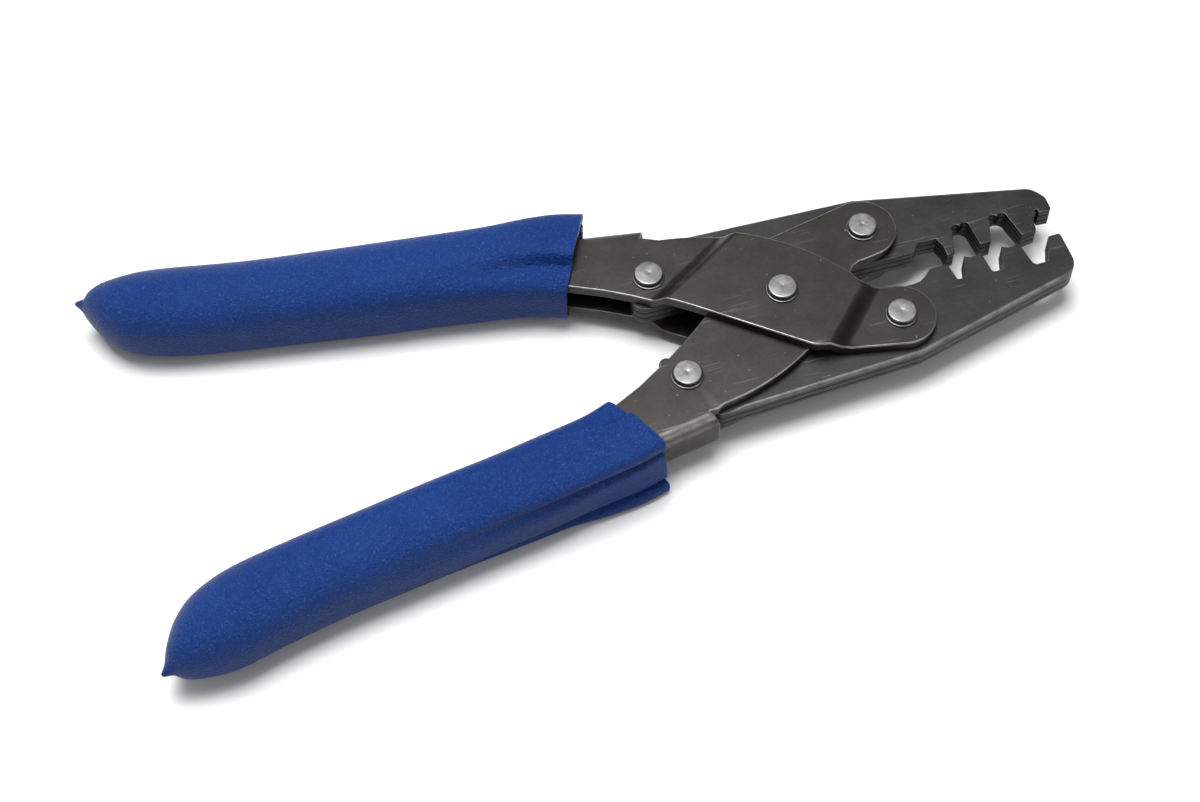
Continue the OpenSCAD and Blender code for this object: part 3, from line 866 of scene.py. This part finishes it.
# The crease between the pad and that part: its place, its width at the mouth, and how deep
# the dip at its foot is
CREASE = {1: 7.0, -1: 7.0}
STEP_WIDTH = {1: 1.9, -1: 1.0}
DIP_DEPTH = {1: 0.55, -1: 0.0}
# How much narrower the outer side is at the mouth, and how far the grip bows inwards
SLIM = {1: 0.5, -1: 2.2}
BOW = {1: 0.0, -1: 0.8}
# How far the lower half of the mouth's outer side stands out beyond the upper half
LEAN = {1: 0.0, -1: 1.0}
# How much squarer the mouth's outer corners are than the stations say
SQUARER = {1: 2.0, -1: 7.0}
# The grooves that part the outer side into three: their height and depth, how much lower
# the middle part lies, and how far they run
GROOVE_Z = 5.1
GROOVE_DEPTH = 2.1
MIDDLE_INSET = 0.5
GROOVE_RUN = {1: 42, -1: 80}
# The steel inside the grip: its inner edge and where it ends
STEEL_INNER = [(STEEL_END_U, STEEL_END_V)] + INNER_EDGE[:3]
HOLLOW_END = STEEL_END_U - 0.03


def station_at(u):
    """Smooth values between the stations, by a cubic through their neighbours."""
    rows = GRIP_STATIONS
    i = 0
    while i < len(rows) - 2 and u < rows[i + 1][0]:
        i += 1
    a, b = rows[i], rows[i + 1]
    before = rows[max(0, i - 1)]
    after = rows[min(len(rows) - 1, i + 2)]
    span = b[0] - a[0]
    t = (u - a[0]) / span
    values = []
    for k in range(1, 6):
        slope_a = (b[k] - before[k]) / (b[0] - before[0])
        slope_b = (after[k] - a[k]) / (after[0] - a[0])
        h00 = 2 * t**3 - 3 * t**2 + 1
        h10 = t**3 - 2 * t**2 + t
        h01 = -2 * t**3 + 3 * t**2
        h11 = t**3 - t**2
        values.append(h00 * a[k] + h10 * span * slope_a + h01 * b[k] + h11 * span * slope_b)
    return values


def evenly(points, count):
    """Resamples an open line of (v, z) points to count + 1 points at even spacing."""
    along = [0.0]
    for a, b in zip(points, points[1:]):
        along.append(along[-1] + math.hypot(b[0] - a[0], b[1] - a[1]))
    result = []
    i = 0
    for k in range(count + 1):
        want = along[-1] * k / count
        while i < len(points) - 2 and along[i + 1] < want:
            i += 1
        length = along[i + 1] - along[i]
        t = (want - along[i]) / length if length > 0 else 0.0
        t = min(1.0, max(0.0, t))
        result.append((points[i][0] + (points[i + 1][0] - points[i][0]) * t,
                       points[i][1] + (points[i + 1][1] - points[i][1]) * t))
    return result


def signed_power(x, p):
    return math.copysign(abs(x) ** p, x)


def closed_ring(half):
    """A whole section from its upper half, which runs from the inner side to the outer side."""
    return half + [(v, -z) for v, z in half[-2:0:-1]]


def grip_section(u, side):
    """The grip's outline at u, with the pads and grooves that it has near its mouth."""
    inner, outer, thick, square_in, square_out = station_at(u)
    # The cubic passes a little over 1 between the stations
    thick = min(1.0, thick)
    back = MOUTH_U - u
    bow = BOW[side] * smoothstep(back / 15) * (1 - smoothstep((back - 82) / 14))
    inner -= bow
    outer -= bow + SLIM[side] * (1 - smoothstep(back / 30))
    square_out += SQUARER[side] * (1 - smoothstep(back / 24))
    middle = (inner + outer) / 2
    half_width = (outer - inner) / 2
    hug, reach = HUG[side]
    fade = 1 - smoothstep(back / reach)
    square_in += (MOUTH_SQUARE - square_in) * fade
    raw = []
    for k in range(CURVE_POINTS + 1):
        t = math.pi * (1 - k / CURVE_POINTS)
        power = 2 / (square_in if math.cos(t) < 0 else square_out)
        raw.append((middle + half_width * signed_power(math.cos(t), power),
                    HALF_THICK * thick * abs(math.sin(t)) ** power))
    raw = evenly(raw, EVEN_POINTS)
    # The crease moves inwards and widens as it fades
    crease = inner + CREASE[side] - 1.5 * smoothstep(back / reach)
    step_width = STEP_WIDTH[side] + 6 * smoothstep(back / reach)
    shaped = []
    for v, z in raw:
        low = smoothstep((crease - v) / step_width + 0.5)
        z *= 1 - hug * fade * low
        # A shallow dip at the foot of the crease
        dip = (v - (crease - 0.45 * step_width)) / (0.8 + 0.05 * back)
        z -= DIP_DEPTH[side] * fade * math.exp(-dip * dip) * min(1.0, z / 3)
        # The groove in the outer side, and the lower middle part beside it
        off = (z - GROOVE_Z) / (0.6 + 0.03 * back)
        if v > middle + 0.3 * half_width:
            inset = MIDDLE_INSET * smoothstep((GROOVE_Z - z) / 1.2)
            cut = GROOVE_DEPTH * math.exp(-abs(off) ** 1.6)
            v -= (inset + cut) * (1 - smoothstep(back / GROOVE_RUN[side]))
        shaped.append((v, z))
    return evenly(shaped, HALF_POINTS)


def steel_section(u, side):
    """The outline of the steel inside the grip, a little larger all round."""
    fold = FOLD_AT[side]
    web = fold[1] + (u - fold[0]) * math.tan(FOLD_ANGLE) + STEEL_FIT
    for (u0, v0), (u1, v1) in zip(STEEL_INNER, STEEL_INNER[1:]):
        if u <= u1:
            inner = v0 + (v1 - v0) * (u - u0) / (u1 - u0) - STEEL_FIT
            break
    high = PLATE_TOP + STEEL_FIT
    line = [(inner, 0.0), (inner, high)]
    line += arc((web - FOLD_R, high - FOLD_R), FOLD_R, 90, 0, 7.5)
    line.append((web, 0.0))
    return evenly(line, HALF_POINTS)


def shrunk(half, amount):
    """A section moved inwards along its own normals."""
    moved = []
    last = len(half) - 1
    for k, (v, z) in enumerate(half):
        before = half[k - 1] if k > 0 else (half[1][0], -half[1][1])
        after = half[k + 1] if k < last else (half[last - 1][0], -half[last - 1][1])
        dv, dz = after[0] - before[0], after[1] - before[1]
        size = math.hypot(dv, dz) or 1.0
        moved.append((v + dz / size * amount, z - dv / size * amount if 0 < k < last else 0.0))
    return moved


def blended(a, b, share):
    """A section between two others."""
    return [(p[0] + (q[0] - p[0]) * share, p[1] + (q[1] - p[1]) * share) for p, q in zip(a, b)]


def ring_spacing(u):
    """Distance to the next ring: short at the tip, where the section changes fast."""
    if u < -147:
        return 0.3
    if u < -138:
        return 0.7
    return 1.6 if u < -90 else 1.0


def grip_rings(side):
    """(u, section, rim share, lean share) rings: up the outside to the mouth, and down the inside."""
    rings = []
    u = GRIP_STATIONS[-1][0]
    while u < MOUTH_U - RIM_RADIUS - 0.01:
        rings.append((u, grip_section(u, side), 0.0, 1 - smoothstep((MOUTH_U - u) / 30)))
        u += ring_spacing(u)
    lip = grip_section(MOUTH_U, side)
    for k in range(5):
        a = math.radians(90 * k / 4)
        place_u = MOUTH_U - RIM_RADIUS + RIM_RADIUS * math.sin(a)
        rings.append((place_u, shrunk(lip, RIM_RADIUS * (1 - math.cos(a))), k / 4, 1.0))
    steel = steel_section(MOUTH_U - LIP_DEPTH, side)
    inner_lip = shrunk(lip, RIM_RADIUS)
    for back, share, rim in ((0.0, 0.25, 1.0), (0.25, 0.32, 1.0), (1.4, 0.4, 0.6),
                             (LIP_DEPTH, 0.5, 0.4)):
        rings.append((MOUTH_U - back, blended(inner_lip, steel, share), rim, 1 - share))
    rings.append((MOUTH_U - LIP_DEPTH, steel, 0.2, 0.0))
    for u in (-52.0, -72.0, -92.0, -112.0, HOLLOW_END):
        rings.append((u, steel_section(u, side), 0.0, 0.0))
    return rings


def grip(name, side, body):
    """One grip: a sleeve closed at its tip, hollow where the steel is."""
    verts, faces, rims = [], [], []
    rings = grip_rings(side)
    for u, half, rim, lean in rings:
        for v, z in closed_ring(half):
            # Only the outer side leans
            v -= LEAN[side] * lean * z / HALF_THICK * smoothstep((v - 1) / 6)
            verts.append(handle_point(u, v, z, side))
            rims.append(rim)
    count = 2 * HALF_POINTS
    for i in range(len(rings) - 1):
        for j in range(count):
            k = (j + 1) % count
            faces.append((i * count + j, i * count + k, (i + 1) * count + k, (i + 1) * count + j))
    faces.append(tuple(range(count)))
    faces.append(tuple(range((len(rings) - 1) * count, len(rings) * count)))
    mesh = bpy.data.meshes.new(name + "_sleeve")
    mesh.from_pydata(verts, [], faces)
    turned_outwards(mesh)
    mesh.attributes.new("rim", "FLOAT", "POINT").data.foreach_set("value", rims)
    shade(mesh, 60)
    return place(name + "_sleeve", mesh, body, [name], grip_vinyl)


grip("outer_grip", 1, "outer_lever")
grip("inner_grip", -1, "inner_lever")


# ---- Floor, light and camera --------------------------------------------------------


def floor():
    """A plain pale floor, just under the object."""
    half = 3.0
    mesh = bpy.data.meshes.new("floor")
    mesh.from_pydata([(-half, -half, 0), (half, -half, 0), (half, half, 0), (-half, half, 0)],
                     [], [(0, 1, 2, 3)])
    obj = link(bpy.data.objects.new("floor", mesh))
    obj.location.z = -0.00005
    s = Surface("studio_floor")
    s.set(colour=(0.72, 0.72, 0.72, 1.0), rough=0.9, specular=0.1)
    mesh.materials.append(s.material)


def softbox(name, aim, direction, distance, size, power):
    """An area light that looks at a point from a direction."""
    data = bpy.data.lights.new(name, "AREA")
    data.shape = "RECTANGLE"
    data.size, data.size_y = size
    data.energy = power
    obj = link(bpy.data.objects.new(name, data))
    toward = Vector(direction).normalized()
    obj.location = Vector(aim) + toward * distance
    obj.rotation_euler = toward.to_track_quat("Z", "Y").to_euler()


floor()
target = Vector((-44.24 * MM, -10.89 * MM, MID_Z))
softbox("key", target, (-0.08, 0.17, 1.0), 1.0, (0.62, 0.54), 17.0)
softbox("front_fill", target, (0.52, -0.52, 0.65), 1.0, (0.45, 0.35), 1.5)


def studio_world():
    """A white room, bright overhead and dim towards its floor."""
    world = bpy.data.worlds.new("studio")
    world.use_nodes = True
    nodes, links = world.node_tree.nodes, world.node_tree.links
    direction = nodes.new("ShaderNodeTexCoord").outputs["Generated"]
    toward = nodes.new("ShaderNodeVectorMath")
    toward.operation = "DOT_PRODUCT"
    toward.inputs[1].default_value = Vector((-0.2, 0.15, 0.78)).normalized()
    links.new(direction, toward.inputs[0])
    height = nodes.new("ShaderNodeMapRange")
    height.inputs["From Min"].default_value = 0.1
    height.inputs["From Max"].default_value = 0.9
    height.inputs["To Min"].default_value = 0.12
    height.inputs["To Max"].default_value = 0.5
    links.new(toward.outputs["Value"], height.inputs["Value"])
    links.new(height.outputs["Result"], nodes["Background"].inputs["Strength"])
    nodes["Background"].inputs["Color"].default_value = (1, 1, 1, 1)
    bpy.context.scene.world = world


studio_world()
bpy.context.scene.view_settings.view_transform = "Standard"

# The photograph's viewing angle: elevation and turn of a camera that looks at the target,
# its distance in metres, and its focal length in millimetres on a sensor 36 mm wide
ELEVATION = math.radians(57.28)
TURN = math.radians(-17.23)
DISTANCE = 0.50195
FOCAL_LENGTH = 71.115
SENSOR_WIDTH = 36

forward = Vector((-math.sin(TURN) * math.cos(ELEVATION), math.cos(TURN) * math.cos(ELEVATION),
                  -math.sin(ELEVATION)))
right = Vector((math.cos(TURN), math.sin(TURN), 0))
up = right.cross(forward)
camera_data = bpy.data.cameras.new("camera")
camera_data.sensor_width = SENSOR_WIDTH
camera_data.lens = FOCAL_LENGTH
camera_data.clip_start = 0.01
camera = link(bpy.data.objects.new("camera", camera_data))
turned = Matrix((right, up, -forward)).transposed().to_4x4()
camera.matrix_world = Matrix.Translation(target - forward * DISTANCE) @ turned
bpy.context.scene.camera = camera
